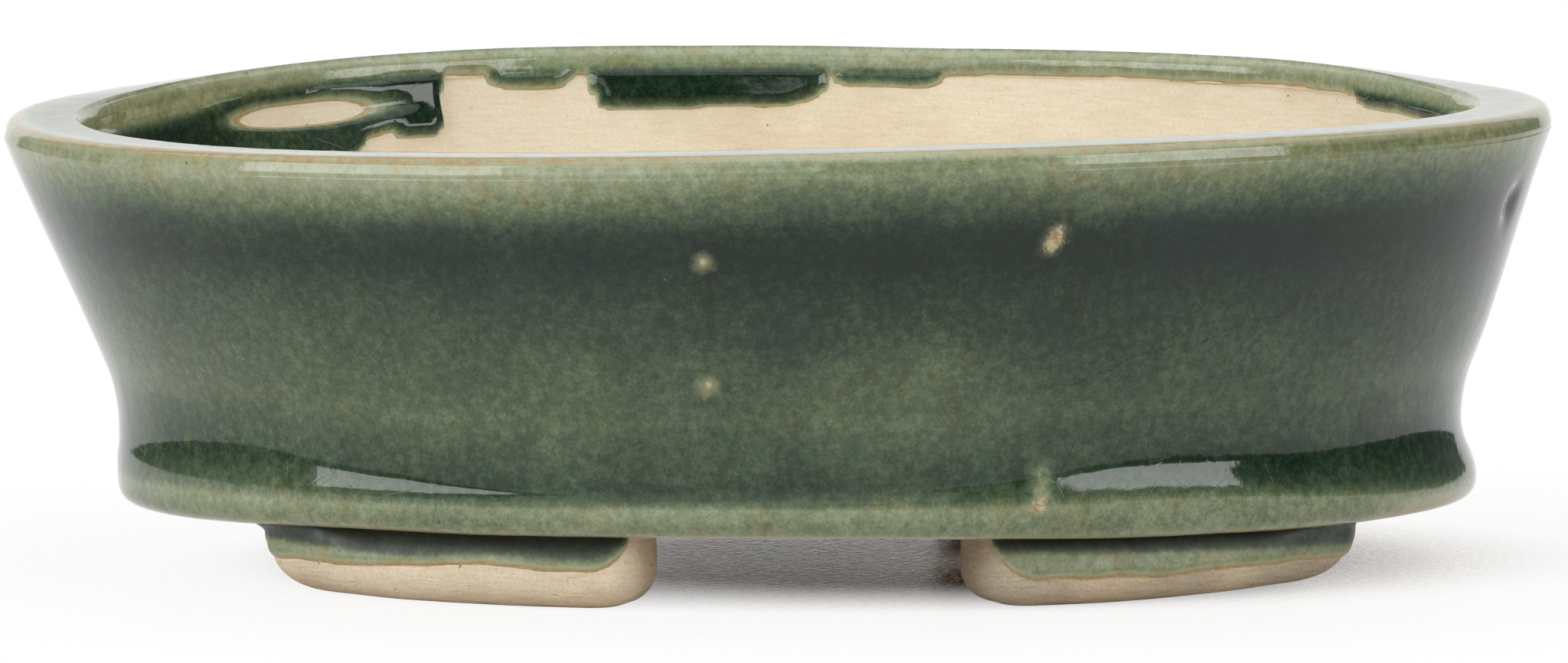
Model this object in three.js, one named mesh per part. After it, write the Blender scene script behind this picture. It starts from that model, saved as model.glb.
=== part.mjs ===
// Oval bonsai pot: hand-built stoneware on four luted feet, glazed outside and over the rim.
// Millimetres, +Z up. The origin is on the table under the middle of the pot,
// +X runs along its length and -Y is its front.

import * as THREE from 'three';

// Overall size, over the glaze
const potLength = 122;
const potWidth = 100;
const potHeight = 36.5;

// Wall: a leaning slab of even thickness that turns upright at a waist above the base band
const wallThickness = 5.5;
const waistInset = 8.1; // how far the waist lies in from the widest outline
const waistTurn = 2.4;
const innerFillet = 1.5; // clay smoothed into the corner of wall and floor

// Rim: a flat strip laid on the wall's top edge, flush inside, with a rounded lip outside
const rimThickness = 2.2;
const rimInnerRound = 1;
const lipRound = 1.6; // how far the lip's rounding reaches in over the top face
const lipDrop = 1.2; // from the top face down to the lip's widest line
const lipOverhang = 0.35; // how far the lip stands out past the seam with the wall

// Floor: an oval slab that the wall stands on, with drain holes and tie-wire holes
const floorThickness = 5;
const floorInset = 10;
const drainDiameter = 11;
const drainSpacing = 40;
const wireHoleDiameter = 3.2;
const wireHoleSpacingX = 68;
const wireHoleSpacingY = 20;

// Base band: a coil pressed into the angle of wall and floor, rolled under at its lower edge
const bandLap = 1.4; // how far the band laps up the wall above the floor's top face
const bandProjection = 0.75; // how far the band stands out past the waist
const bandFace = 1; // the upright face between its cove and its rolled edge
const bandRoll = 1.5;

// Feet: four bars that follow the oval, with a drawn-in neck and rounded lower ends
const footHeight = 5.7;
const footWidth = 9;
const footLength = 33; // along the oval
const footGap = 29; // along the oval, between the two feet of one side
const footInset = 9.4;
const footNeck = 0.8; // how far the neck is drawn in from the foot's face
const footBulge = 3.3; // height of the foot's fullest line, where its glaze stops
const footToe = 4.4; // how far the face curves under before it meets the table
const footHeel = 1.2;
const footEndRise = 3.4; // height of the rounding at both ends
const footInnerRound = 3.4;
const footOuterRound = 5;

// Glaze: one skin over the band, the wall and the rim, and one on each foot's face
const glazeThickness = 0.45;
const innerGlazeDepth = 5; // how far the glaze runs down inside the rim
const footGlazeThickness = 0.35;

// Facets
const ovalSteps = 56;
const curveSteps = 3;
const holeSteps = 20;
const footRoundSteps = 3;
const footStraightSteps = 5;
const footBareStations = 2; // stations at a foot's inner end that the glaze leaves bare

const clay = new THREE.MeshStandardMaterial({ color: 0xcdb892, roughness: 0.9, metalness: 0 });
const glaze = new THREE.MeshStandardMaterial({ color: 0x5b6f55, roughness: 0.15, metalness: 0 });

// Levels and insets that follow from the sizes above
const floorTop = footHeight + floorThickness;
const waistLevel = floorTop + bandLap;
const seamLevel = potHeight - rimThickness;
const glazeEdgeLevel = potHeight - innerGlazeDepth;
const wallLean = (waistInset - lipOverhang) / (seamLevel - waistLevel - waistTurn);
const rimWidth = lipOverhang + wallThickness + 2 * glazeThickness;
const bandInset = waistInset - bandProjection;

// An outline is a list of points (inset, level): the distance in from the widest outline of the
// pot, and the height above the table. The outside is drawn downwards, the inside upwards.
// A coat of zero gives the glazed surface, and a coat of one glaze gives the clay beneath it.

function rimOutline(coat) {
  const inner = rimWidth - coat;
  const top = potHeight - coat;
  const path = new THREE.Path();
  path.moveTo(inner, seamLevel);
  path.lineTo(inner, potHeight - rimInnerRound);
  path.quadraticCurveTo(inner, top, rimWidth - rimInnerRound, top);
  path.lineTo(lipRound, top);
  path.quadraticCurveTo(coat, top, coat, potHeight - lipDrop);
  path.lineTo(lipOverhang + coat, seamLevel);
  return path.getPoints(curveSteps);
}

function wallOutline(coat) {
  const waist = waistInset + coat;
  const path = new THREE.Path();
  path.moveTo(lipOverhang + coat, seamLevel);
  path.lineTo(waist - wallLean * waistTurn, waistLevel + 2 * waistTurn);
  path.quadraticCurveTo(waist, waistLevel + waistTurn, waist, waistLevel);
  return path.getPoints(curveSteps);
}

function bandOutline(coat) {
  const face = bandInset + coat;
  const shoulder = footHeight + bandRoll + bandFace;
  const path = new THREE.Path();
  path.moveTo(waistInset + coat, waistLevel);
  path.quadraticCurveTo(waistInset + coat, (waistLevel + shoulder) / 2, face, shoulder);
  path.lineTo(face, footHeight + bandRoll);
  path.quadraticCurveTo(face, footHeight + coat, bandInset + bandRoll, footHeight + coat);
  return path.getPoints(curveSteps);
}

// A point of the inner face at a given level: the clay with a coat of one glaze, or the glaze.
function innerFacePoint(level, coat) {
  return new THREE.Vector2(rimWidth - coat + wallLean * (seamLevel - level), level);
}

function coatedOutline(coat) {
  return [
    innerFacePoint(glazeEdgeLevel, coat),
    ...rimOutline(coat),
    ...wallOutline(coat).slice(1),
    ...bandOutline(coat).slice(1),
  ];
}

// The glazed part of a foot's face, from its neck down to its fullest line.
function footFace(coat) {
  const path = new THREE.Path();
  path.moveTo(footInset + footNeck - coat, footHeight);
  path.quadraticCurveTo(
    footInset + footNeck - coat, (footHeight + footBulge) / 2,
    footInset - coat, footBulge,
  );
  return path.getPoints(curveSteps);
}

function footOutline() {
  const back = footInset + footWidth;
  const path = new THREE.Path();
  path.moveTo(footInset, footBulge);
  path.quadraticCurveTo(footInset, 0, footInset + footToe, 0);
  path.lineTo(back - footHeel, 0);
  path.quadraticCurveTo(back, 0, back, footHeel);
  path.lineTo(back, footHeight);
  return [...footFace(0), ...path.getPoints(curveSteps).slice(1)];
}

// Places an outline's points on the oval at one angle.
function ovalSection(outline, angle) {
  return outline.map((point) => new THREE.Vector3(
    (potLength / 2 - point.x) * Math.cos(angle),
    (potWidth / 2 - point.x) * Math.sin(angle),
    point.y,
  ));
}

// Bridges each section to the next. A square of four points is always split from its lower point
// on one section to its higher point on the next, so two pieces that share a face fit exactly.
function bridgeSections(sections, isRing) {
  const count = sections[0].length;
  const spans = isRing ? sections.length : sections.length - 1;
  const indices = [];
  for (let span = 0; span < spans; span += 1) {
    const next = (span + 1) % sections.length;
    for (let point = 0; point < count; point += 1) {
      const following = (point + 1) % count;
      const a = span * count + point;
      const b = span * count + following;
      const c = next * count + following;
      const d = next * count + point;
      const rises = sections[span][following].z > sections[span][point].z;
      indices.push(...(rises ? [a, b, c, a, c, d] : [a, b, d, b, c, d]));
    }
  }
  const geometry = new THREE.BufferGeometry();
  geometry.setFromPoints(sections.flat());
  geometry.setIndex(indices);
  return geometry;
}

function ovalRing(outline) {
  const sections = [];
  for (let step = 0; step < ovalSteps; step += 1) {
    sections.push(ovalSection(outline, (step / ovalSteps) * Math.PI * 2));
  }
  return bridgeSections(sections, true);
}

// Stations along a foot, from its inner end outwards: the angle on the oval, and how far the
// foot's underside is lifted there by the rounding of its ends.
function footStations() {
  const places = [];
  for (let step = 0; step <= footRoundSteps; step += 1) {
    const turn = (step / footRoundSteps) * (Math.PI / 2);
    const lift = footEndRise * (1 - Math.sin(turn));
    places.push({ distance: footInnerRound * (1 - Math.cos(turn)), lift });
    places.push({ distance: footLength - footOuterRound * (1 - Math.cos(turn)), lift });
  }
  const straight = footLength - footInnerRound - footOuterRound;
  for (let step = 1; step < footStraightSteps; step += 1) {
    places.push({ distance: footInnerRound + (straight * step) / footStraightSteps, lift: 0 });
  }
  places.sort((one, other) => one.distance - other.distance);

  const quarter = Math.PI / 2;
  const faceLine = new THREE.EllipseCurve(
    0, 0, potLength / 2 - footInset, potWidth / 2 - footInset, -quarter, 0,
  );
  return places.map(({ distance, lift }) => ({
    angle: quarter * (faceLine.getUtoTmapping(0, footGap / 2 + distance) - 1),
    lift,
  }));
}

// A bar along the oval: its outline is pressed up towards the floor where the ends are rounded.
function ovalBar(outline, stations) {
  const sections = stations.map(({ angle, lift }) => {
    const keep = 1 - lift / footHeight;
    const pressed = outline.map((point) => (
      new THREE.Vector2(point.x, footHeight - (footHeight - point.y) * keep)
    ));
    return ovalSection(pressed, angle);
  });
  const geometry = bridgeSections(sections, false);
  const lastStart = (sections.length - 1) * outline.length;
  const caps = THREE.ShapeUtils.triangulateShape(outline, []).flatMap(([a, b, c]) => [
    c, b, a, lastStart + a, lastStart + b, lastStart + c,
  ]);
  geometry.setIndex([...geometry.index.array, ...caps]);
  return geometry;
}

function roundHole(x, y, diameter) {
  const circle = new THREE.EllipseCurve(x, y, diameter / 2, diameter / 2);
  return new THREE.Path(circle.getPoints(holeSteps).slice(1));
}

function floorSlab() {
  const slab = new THREE.Shape();
  slab.absellipse(0, 0, potLength / 2 - floorInset, potWidth / 2 - floorInset, 0, Math.PI * 2);
  for (const sideX of [-1, 1]) {
    slab.holes.push(roundHole(sideX * drainSpacing / 2, 0, drainDiameter));
    for (const sideY of [-1, 1]) {
      const x = sideX * wireHoleSpacingX / 2;
      const y = sideY * wireHoleSpacingY / 2;
      slab.holes.push(roundHole(x, y, wireHoleDiameter));
    }
  }
  const options = { depth: floorThickness, bevelEnabled: false, curveSegments: ovalSteps / 2 };
  return new THREE.ExtrudeGeometry(slab, options);
}

const pot = new THREE.Group();

function addPiece(name, geometry, material) {
  geometry.computeVertexNormals();
  const mesh = new THREE.Mesh(geometry, material);
  mesh.name = name;
  pot.add(mesh);
  return mesh;
}

addPiece('floor_slab', floorSlab(), clay).position.z = footHeight;

addPiece('pot_wall', ovalRing([
  ...wallOutline(glazeThickness),
  new THREE.Vector2(floorInset, floorTop),
  innerFacePoint(floorTop, glazeThickness).add(new THREE.Vector2(innerFillet, 0)),
  innerFacePoint(floorTop + innerFillet, glazeThickness),
  innerFacePoint(glazeEdgeLevel, glazeThickness),
  innerFacePoint(seamLevel, glazeThickness),
]), clay);

addPiece('rim_strip', ovalRing(rimOutline(glazeThickness)), clay);

addPiece('base_band', ovalRing([
  ...bandOutline(glazeThickness),
  new THREE.Vector2(bandInset + bandRoll, footHeight),
  new THREE.Vector2(floorInset, footHeight),
  new THREE.Vector2(floorInset, floorTop),
]), clay);

addPiece('body_glaze', ovalRing([
  ...coatedOutline(0),
  ...coatedOutline(glazeThickness).reverse(),
]), glaze);

// The feet are one shape, mirrored from the front right quarter into the other three.
const stations = footStations();
const footGeometry = ovalBar(footOutline(), stations);
const footGlazeGeometry = ovalBar(
  [...footFace(footGlazeThickness), ...footFace(0).reverse()],
  stations.slice(footBareStations),
);
for (const [depthName, depthSide] of [['front', 1], ['back', -1]]) {
  for (const [sideName, lengthSide] of [['left', -1], ['right', 1]]) {
    const name = `foot_${depthName}_${sideName}`;
    addPiece(name, footGeometry.clone(), clay).scale.set(lengthSide, depthSide, 1);
    addPiece(`${name}_glaze`, footGlazeGeometry.clone(), glaze).scale.set(lengthSide, depthSide, 1);
  }
}

export default pot;
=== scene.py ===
import math
import bpy
import numpy as np
from mathutils import Matrix, Vector, noise


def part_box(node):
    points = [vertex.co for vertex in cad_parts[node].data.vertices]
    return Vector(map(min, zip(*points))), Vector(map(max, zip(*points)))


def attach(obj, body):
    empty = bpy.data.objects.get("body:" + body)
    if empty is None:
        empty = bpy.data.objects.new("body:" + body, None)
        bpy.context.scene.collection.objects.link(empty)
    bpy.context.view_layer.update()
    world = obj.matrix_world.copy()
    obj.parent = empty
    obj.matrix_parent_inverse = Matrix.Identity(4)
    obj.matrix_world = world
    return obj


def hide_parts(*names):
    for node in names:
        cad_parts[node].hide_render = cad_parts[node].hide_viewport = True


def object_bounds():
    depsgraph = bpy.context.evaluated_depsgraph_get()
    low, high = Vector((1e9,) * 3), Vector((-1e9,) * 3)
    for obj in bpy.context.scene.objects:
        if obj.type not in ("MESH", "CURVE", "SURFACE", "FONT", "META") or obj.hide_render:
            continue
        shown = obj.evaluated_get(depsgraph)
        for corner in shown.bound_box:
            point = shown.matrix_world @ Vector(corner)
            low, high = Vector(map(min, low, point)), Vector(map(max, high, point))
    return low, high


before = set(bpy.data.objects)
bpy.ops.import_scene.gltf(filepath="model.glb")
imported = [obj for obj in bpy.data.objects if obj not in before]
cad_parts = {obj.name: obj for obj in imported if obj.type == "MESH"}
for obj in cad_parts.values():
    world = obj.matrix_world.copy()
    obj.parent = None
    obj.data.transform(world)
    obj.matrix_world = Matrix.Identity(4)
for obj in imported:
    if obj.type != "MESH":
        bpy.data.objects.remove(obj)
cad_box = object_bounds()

# Floor slab
# An oval of buff stoneware rolled out like pastry and cut with a knife. Two drain holes and four
# small holes for tie wire are punched through it while soft, and their edges wiped with a wet finger.

mm = 0.001
half_length = cad_box[1].x / mm
half_width = cad_box[1].y / mm
pot_top = cad_box[1].z / mm

slab_low, slab_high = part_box("floor_slab")
slab_bottom = slab_low.z / mm
slab_top = slab_high.z / mm
slab_inset = half_length - slab_high.x / mm
slab_rings = 30
slab_steps = 144
slab_edge = 0.4

drain_radius = 5.5
drain_aside = 20
wire_hole_radius = 1.6
wire_hole_aside = 34
wire_hole_back = 10
hole_softening = 1.0
sharp_edge_angle = 50


def open_socket(sockets, name):
    """The socket of that number, or the one of that name that the node's settings leave in use."""
    if isinstance(name, int):
        return sockets[name]
    return next(socket for socket in sockets if socket.name == name and socket.enabled)


def feed(made, inputs):
    """Sets a node's inputs to values, or links them to sockets."""
    for name, value in inputs.items():
        socket = open_socket(made.inputs, name)
        if isinstance(value, bpy.types.NodeSocket):
            made.id_data.links.new(value, socket)
        else:
            socket.default_value = value


def node(kind, inputs, output=0, tree=None, **settings):
    """Adds a node to the tree given, or to the one its inputs come from, and gives one of its outputs."""
    sources = [value for value in inputs.values() if isinstance(value, bpy.types.NodeSocket)]
    made = (tree or sources[0].id_data).nodes.new(kind)
    for name, value in settings.items():
        setattr(made, name, value)
    feed(made, inputs)
    return open_socket(made.outputs, output)


def maths(operation, *values):
    return node("ShaderNodeMath", dict(enumerate(values)), operation=operation)


def times(product, *others):
    for other in others:
        product = maths("MULTIPLY", product, other)
    return product


def axes_of(vector):
    return node("ShaderNodeSeparateXYZ", {"Vector": vector}).node.outputs


def lumps(place, scale, detail=2.0, roughness=0.5):
    """Soft noise between 0 and 1, with the scale in lumps per metre."""
    return node("ShaderNodeTexNoise", {
        "Vector": place, "Scale": scale, "Detail": detail, "Roughness": roughness}, "Fac")


def between(value, low, high, low_result=0.0, high_result=1.0):
    """Maps a value from one span to another, smoothly and without leaving the second span."""
    return node("ShaderNodeMapRange", {
        "Value": value, "From Min": low, "From Max": high,
        "To Min": low_result, "To Max": high_result}, interpolation_type="SMOOTHSTEP")


def mixed(share, first, second, mode="MIX"):
    return node("ShaderNodeMix", {"Factor": share, "A": first, "B": second}, "Result",
                data_type="RGBA", blend_type=mode)


def flecks(place, scale, share, low_radius, high_radius):
    """Round flecks: one in some of the cells, with radii as shares of a cell."""
    cells = node("ShaderNodeTexVoronoi", {"Vector": place, "Scale": scale}).node.outputs
    draw = node("ShaderNodeSeparateColor", {"Color": cells["Color"]}).node.outputs
    radius = between(draw["Green"], 0.0, 1.0, low_radius, high_radius)
    inside = between(maths("DIVIDE", cells["Distance"], radius), 1.0, 0.6)
    return times(inside, maths("LESS_THAN", draw["Red"], share))


def relief(height, strength, depth):
    """Small bumps in a surface, with their depth in metres."""
    return node("ShaderNodeBump", {"Strength": strength, "Distance": depth, "Height": height})


def new_finish(name):
    """A material with its shader and the place on the piece that its patterns follow."""
    material = bpy.data.materials.new(name)
    material.use_nodes = True
    shader = material.node_tree.nodes["Principled BSDF"]
    return material, shader, node("ShaderNodeTexCoord", {}, "Object", material.node_tree)


def bare_stoneware(name, soiled, shade=1.0):
    """Unglazed fired clay: pale buff, matte, wiped along the wall, with iron specks and small pits."""
    material, shader, place = new_finish(name)
    # A shade below 1 darkens the whole buff: painted shade for a part that gets less light.
    pale_buff = (0.78 * shade, 0.695 * shade, 0.54 * shade, 1)
    warm_buff = (0.68, 0.575, 0.415, 1)
    iron = (0.055, 0.04, 0.028, 1)
    ash = (0.19, 0.175, 0.15, 1)

    level_wipes = node("ShaderNodeMapping", {"Vector": place, "Scale": (420, 420, 3600)})
    wipes = lumps(level_wipes, 1, 3)
    grain = lumps(place, 4200, 2)
    patches = between(lumps(place, 110, 4), 0.42, 0.75)
    wiped = between(wipes, 0.35, 0.75, 0.0, 0.15 + 0.25 * soiled)
    sandy = between(grain, 0.3, 0.7, 0.0, 0.16 + 0.3 * soiled)
    smudges = times(flecks(place, 330, soiled, 0.06, 0.17), between(lumps(place, 3200, 2), 0.48, 0.62), 0.7)
    specks = times(flecks(place, 620, 0.18 + soiled, 0.03, 0.12), 0.8)
    colour = mixed(patches, pale_buff, warm_buff)
    colour = mixed(wiped, colour, warm_buff, "MULTIPLY")
    colour = mixed(sandy, colour, warm_buff, "MULTIPLY")
    colour = mixed(smudges, colour, ash)
    colour = mixed(specks, colour, iron)

    pits = flecks(place, 900, 0.35, 0.08, 0.25)
    height = maths("SUBTRACT", maths("ADD", grain, wipes), pits)
    feed(shader, {"Base Color": colour, "Roughness": between(wipes, 0.2, 0.8, 0.78, 0.95),
                  "Normal": relief(height, 0.55, 0.09 * mm * (1 + 2 * soiled))})
    return material


def new_tree(name, inputs):
    """A geometry tree with named inputs, and the sockets that give them."""
    tree = bpy.data.node_groups.new(name, "GeometryNodeTree")
    for input_name, kind in inputs.items():
        tree.interface.new_socket(input_name, in_out="INPUT", socket_type="NodeSocket" + kind)
    tree.interface.new_socket("Clay", in_out="OUTPUT", socket_type="NodeSocketGeometry")
    return tree, tree.nodes.new("NodeGroupInput").outputs


def pushed(shape, way, amount):
    """The shape with its points moved by an amount along a direction."""
    push = node("ShaderNodeVectorMath", {0: way, "Scale": amount}, operation="SCALE")
    return node("GeometryNodeSetPosition", {"Geometry": shape, "Offset": push})


def end_tree(tree, shape, finish):
    """Ends a geometry tree with its shape made real and given its finish."""
    real = node("GeometryNodeRealizeInstances", {"Geometry": shape})
    finished = node("GeometryNodeSetMaterial", {"Geometry": real, "Material": finish})
    feed(tree.nodes.new("NodeGroupOutput"), {"Clay": finished})
    return tree


def oval_ring_tree():
    """Geometry nodes that carry an outline round the oval: a point of the outline lies that far
    outside the pot's widest line and that high above the table, at every angle."""
    tree, given = new_tree("oval_ring", {
        "Outline": "Geometry", "Half Length": "Float", "Half Width": "Float", "Steps": "Int",
        "Closed Outline": "Int", "Finger Marks": "Float", "Mark Seed": "Float", "Finish": "Material"})
    here = node("GeometryNodeInputPosition", {}, tree=tree)
    count = node("GeometryNodeAttributeDomainSize", {"Geometry": given["Outline"]}, "Point Count")
    spans = maths("SUBTRACT", maths("ADD", count, given["Closed Outline"]), 1.0)
    grid = node("GeometryNodeMeshGrid", {
        "Size X": 1.0, "Size Y": 1.0, "Vertices X": maths("ADD", given["Steps"], 1.0),
        "Vertices Y": maths("ADD", spans, 1.0)}, "Mesh")
    square = axes_of(here)
    angle = times(maths("ADD", square["X"], 0.5), math.tau)
    row = maths("ROUND", times(maths("ADD", square["Y"], 0.5), spans))
    outline = axes_of(node("GeometryNodeSampleIndex", {
        "Geometry": given["Outline"], "Value": here, "Index": maths("FLOORED_MODULO", row, count)},
        "Value", data_type="FLOAT_VECTOR", domain="POINT"))
    reach_x = maths("ADD", given["Half Length"], outline["X"])
    reach_y = maths("ADD", given["Half Width"], outline["X"])
    on_oval = node("ShaderNodeCombineXYZ", {
        "X": times(reach_x, maths("COSINE", angle)), "Y": times(reach_y, maths("SINE", angle)),
        "Z": outline["Z"]})
    ring = node("GeometryNodeSetPosition", {"Geometry": grid, "Position": on_oval})
    closed = node("GeometryNodeMergeByDistance", {"Geometry": ring, "Distance": 1e-6})

    seeded = node("ShaderNodeVectorMath", {0: here, 1: given["Mark Seed"]}, operation="ADD")
    marks = maths("SUBTRACT", lumps(seeded, 120, 2), 0.5)
    outwards = node("GeometryNodeInputNormal", {}, tree=tree)
    uneven = pushed(closed, outwards, times(marks, given["Finger Marks"]))
    smooth = node("GeometryNodeSetShadeSmooth", {"Geometry": uneven})
    return end_tree(tree, smooth, given["Finish"])


def new_mesh(name, points, faces=()):
    mesh = bpy.data.meshes.new(name)
    mesh.from_pydata(points, [], faces)
    return mesh


def new_object(name, data):
    """An object with that mesh, lamp or camera, put in the scene."""
    made = bpy.data.objects.new(name, data)
    bpy.context.scene.collection.objects.link(made)
    return made


def grown(name, seed_mesh, tree, settings):
    """An object whose plain mesh is what the tree grows from a seed mesh."""
    piece = new_object(name, seed_mesh)
    modifier = piece.modifiers.new("grow", "NODES")
    modifier.node_group = tree
    for input_name, value in settings.items():
        modifier[tree.interface.items_tree[input_name].identifier] = value
    evaluated = piece.evaluated_get(bpy.context.evaluated_depsgraph_get())
    mesh = bpy.data.meshes.new_from_object(evaluated)
    piece.modifiers.clear()
    piece.data = mesh
    return piece


def oval_ring(name, outline, steps, closed=True, finger_marks=0.0, seed=0.0):
    """A clay ring whose outline is a list of (out, level) points in millimetres."""
    seed_mesh = new_mesh(name + "_outline", [(out * mm, 0, level * mm) for out, level in outline])
    return grown(name, seed_mesh, ring_tree, {
        "Half Length": half_length * mm, "Half Width": half_width * mm, "Steps": steps,
        "Closed Outline": int(closed), "Finger Marks": finger_marks * mm, "Mark Seed": seed,
        "Finish": stoneware})


def punch_tree():
    """Geometry nodes that punch a softened round hole through the slab at every point given."""
    tree, given = new_tree("hole_punch", {
        "Hole Places": "Geometry", "Slab": "Object", "Slab Thickness": "Float", "Softening": "Float",
        "Finish": "Material"})
    thickness, softening = given["Slab Thickness"], given["Softening"]
    radius = node("GeometryNodeInputNamedAttribute", {"Name": "hole_radius"}, "Attribute", tree,
                  data_type="FLOAT")
    punch = node("GeometryNodeMeshCylinder", {
        "Vertices": 48, "Side Segments": 28, "Radius": 1.0, "Depth": times(thickness, 1.2)}, "Mesh")
    width = node("ShaderNodeCombineXYZ", {"X": radius, "Y": radius, "Z": 1.0})
    at_places = node("GeometryNodeInstanceOnPoints", {
        "Points": given["Hole Places"], "Instance": punch, "Scale": width})
    punches = node("GeometryNodeRealizeInstances", {"Geometry": at_places})
    slab = node("GeometryNodeObjectInfo", {"Object": given["Slab"]}, "Geometry")
    low_corner = node("GeometryNodeBoundBox", {"Geometry": slab}, "Min")
    half = times(thickness, 0.5)
    middle = maths("ADD", axes_of(low_corner)["Z"], half)
    level = axes_of(node("GeometryNodeInputPosition", {}, tree=tree))["Z"]
    off_middle = maths("ABSOLUTE", maths("SUBTRACT", level, middle))
    past_bore = maths("SUBTRACT", off_middle, maths("SUBTRACT", half, softening))
    flare = maths("MAXIMUM", maths("DIVIDE", past_bore, softening), 0.0)
    opened = times(softening, maths("POWER", flare, 2.0))
    outwards = node("GeometryNodeInputNormal", {}, tree=tree)
    sideways = node("ShaderNodeVectorMath", {0: outwards, 1: (1.0, 1.0, 0.0)}, operation="MULTIPLY")
    flared = pushed(punches, sideways, opened)
    cut = node("GeometryNodeMeshBoolean", {"Mesh 1": slab, "Mesh 2": flared}, "Mesh",
               operation="DIFFERENCE", solver="EXACT")
    return end_tree(tree, cut, given["Finish"])


def keep(piece, slot, *nodes):
    """Fixes a finished piece to the pot in place of its plain CAD nodes."""
    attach(piece, "root")
    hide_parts(*nodes)


stoneware = bare_stoneware("bare_stoneware", 0.07)
ring_tree = oval_ring_tree()

slab_out = np.linspace(-half_width, -slab_inset - slab_edge, slab_rings)
slab_outline = [(out, slab_bottom) for out in slab_out]
slab_outline += [(-slab_inset, slab_bottom + slab_edge), (-slab_inset, slab_top - slab_edge)]
slab_outline += [(out, slab_top) for out in slab_out[::-1]]
plain_slab = oval_ring("plain_slab", slab_outline, slab_steps, closed=False)

hole_places = [(x * drain_aside, 0, drain_radius) for x in (-1, 1)]
hole_places += [(x * wire_hole_aside, y * wire_hole_back, wire_hole_radius)
                for x in (-1, 1) for y in (-1, 1)]
hole_level = (slab_bottom + slab_top) / 2
hole_mesh = new_mesh("hole_places", [(x * mm, y * mm, hole_level * mm) for x, y, radius in hole_places])
hole_radii = hole_mesh.attributes.new("hole_radius", "FLOAT", "POINT")
hole_radii.data.foreach_set("value", [radius * mm for x, y, radius in hole_places])
floor_piece = grown("clay_floor", hole_mesh, punch_tree(), {
    "Slab": plain_slab, "Slab Thickness": (slab_top - slab_bottom) * mm,
    "Softening": hole_softening * mm, "Finish": stoneware})
bpy.data.objects.remove(plain_slab)
floor_piece.data.set_sharp_from_angle(angle=math.radians(sharp_edge_angle))
keep(floor_piece, "bare_clay", "floor_slab")

# Pot wall
# A strip of rolled clay stood on the slab and leaned outwards, joined and smoothed with a thumb
# inside. The pot leans a little to the left and its top is not quite level, as hand building leaves it.

rim_low, rim_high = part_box("rim_strip")
band_low, band_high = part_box("base_band")
seam_level = rim_low.z / mm
glaze_coat = half_length - rim_high.x / mm
ring_steps = 256
wall_thickness = 5.5
wall_waist = 8.0
waist_level = 11.0
waist_turn = 2.6
lip_overhang = 0.04
crease_level = pot_top - 1.66
wall_head = crease_level - 0.12
inner_fillet = 2.2
wall_lean = (wall_waist - lip_overhang) / (wall_head - waist_level - waist_turn)
rim_width = lip_overhang + wall_thickness + 2 * glaze_coat

# How the hands left it: lean, warp of the top, and what wanders from place to place across the pot.
waist_slip = 0.6
top_lean = 0.85
rim_drop_length = 0.41
rim_drop_depth = 0.83
rim_bow = -0.46
rim_twist = -0.30
back_tip = 0.45
wander_places = (-55, -49.3, -43.4, -37.1, -30.4, -22, -8, 4, 13.3, 25, 31.5, 40, 48.6, 56)
hollow_shifts = (0.93, 1.13, 1.53, 0.49, -0.3, -0.87, -0.57, -0.37, -0.04, 0.89, 0.85, 0.35, 1.2, 1.23)
roll_shifts = (0.3, 0.35, 0.45, 0.6, 0.85, 0.9, 1.0, 1.0, 0.9, 1.1, 1.15, 0.5, -0.2, -0.3)
edge_shifts = (0, 0, 0.2, 0.5, 0.5, 0.5, 0.6, 0.5, 0.32, 0.03, 0, -0.15, 0, 0)
hollow_fills = (-0.05, -0.35, -0.38, -0.14, 0.06, 0.45, 0.85, 0.85, 0.65, 0.36, 0.38, 0.3, 0.15, 0.1)
back_lifts = (-0.3, -0.2, -0.05, 0, 0.05, 0, -0.25, -0.3, -0.35, -0.1, 0.1, 0.3, 0.35, 0)


def ease(value, low, high):
    """Rises smoothly from 0 at low to 1 at high."""
    share = np.clip((np.asarray(value) - low) / (high - low), 0, 1)
    return share * share * (3 - 2 * share)


def hill(value, start, top, brow, end):
    """Rises smoothly from 0 at start to 1 at top, and falls to 0 again from brow to end."""
    return ease(value, start, top) * (1 - ease(value, brow, end))


def wandering(values, across):
    """Values that change smoothly from one wander place to the next."""
    close_places = np.linspace(-63, 63, 253)
    blur = 6
    window = np.ones(2 * blur + 1) / (2 * blur + 1)
    smooth = np.convolve(np.interp(close_places, wander_places, values), window, "valid")
    return np.interp(across, close_places[blur:-blur], smooth)


def hand_built(points):
    """Leans the regular oval pot over, warps its top, tips its back rim and lets the band wander."""
    x, y, z = points.T
    angle = np.arctan2(y / half_width, x / half_length)
    shift = waist_slip * ease(z, slab_bottom + 1, slab_top + 0.5) + top_lean * ease(z, 16, seam_level)
    warp = (rim_drop_length * np.cos(angle) + rim_drop_depth * np.sin(angle)
            + rim_bow * np.cos(2 * angle) + rim_twist * np.sin(2 * angle))
    rise = np.clip((z - slab_top) / (pot_top - slab_top), 0, None)
    reach = np.hypot(x / half_length, y / half_width)
    outside_front = ease(reach, 0.76, 0.81) * ease(-y, -6, 14)
    hollow = wandering(hollow_shifts, x) * hill(z, 6.2, 11.5, 11.5, 20)
    roll = wandering(roll_shifts, x) * hill(z, 5.9, 7.6, 7.6, 11.2)
    edge = wandering(edge_shifts, x) * (1 - ease(z, 5.9, 7.6))
    fill = wandering(hollow_fills, x) * hill(z, 7.5, 11, 11, 22) * outside_front
    at_back = ease(np.sin(angle), 0.1, 0.7) * ease(z, seam_level - 2, seam_level + 0.6)
    tipped = wandering(back_lifts, x) - back_tip * np.clip((reach - 0.94) / 0.06, -1, 1)
    level = z + warp * rise ** 1.5 + at_back * tipped + (hollow + roll + edge) * outside_front
    return np.column_stack([x - shift + fill * np.cos(angle), y + fill * np.sin(angle), level])


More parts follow.
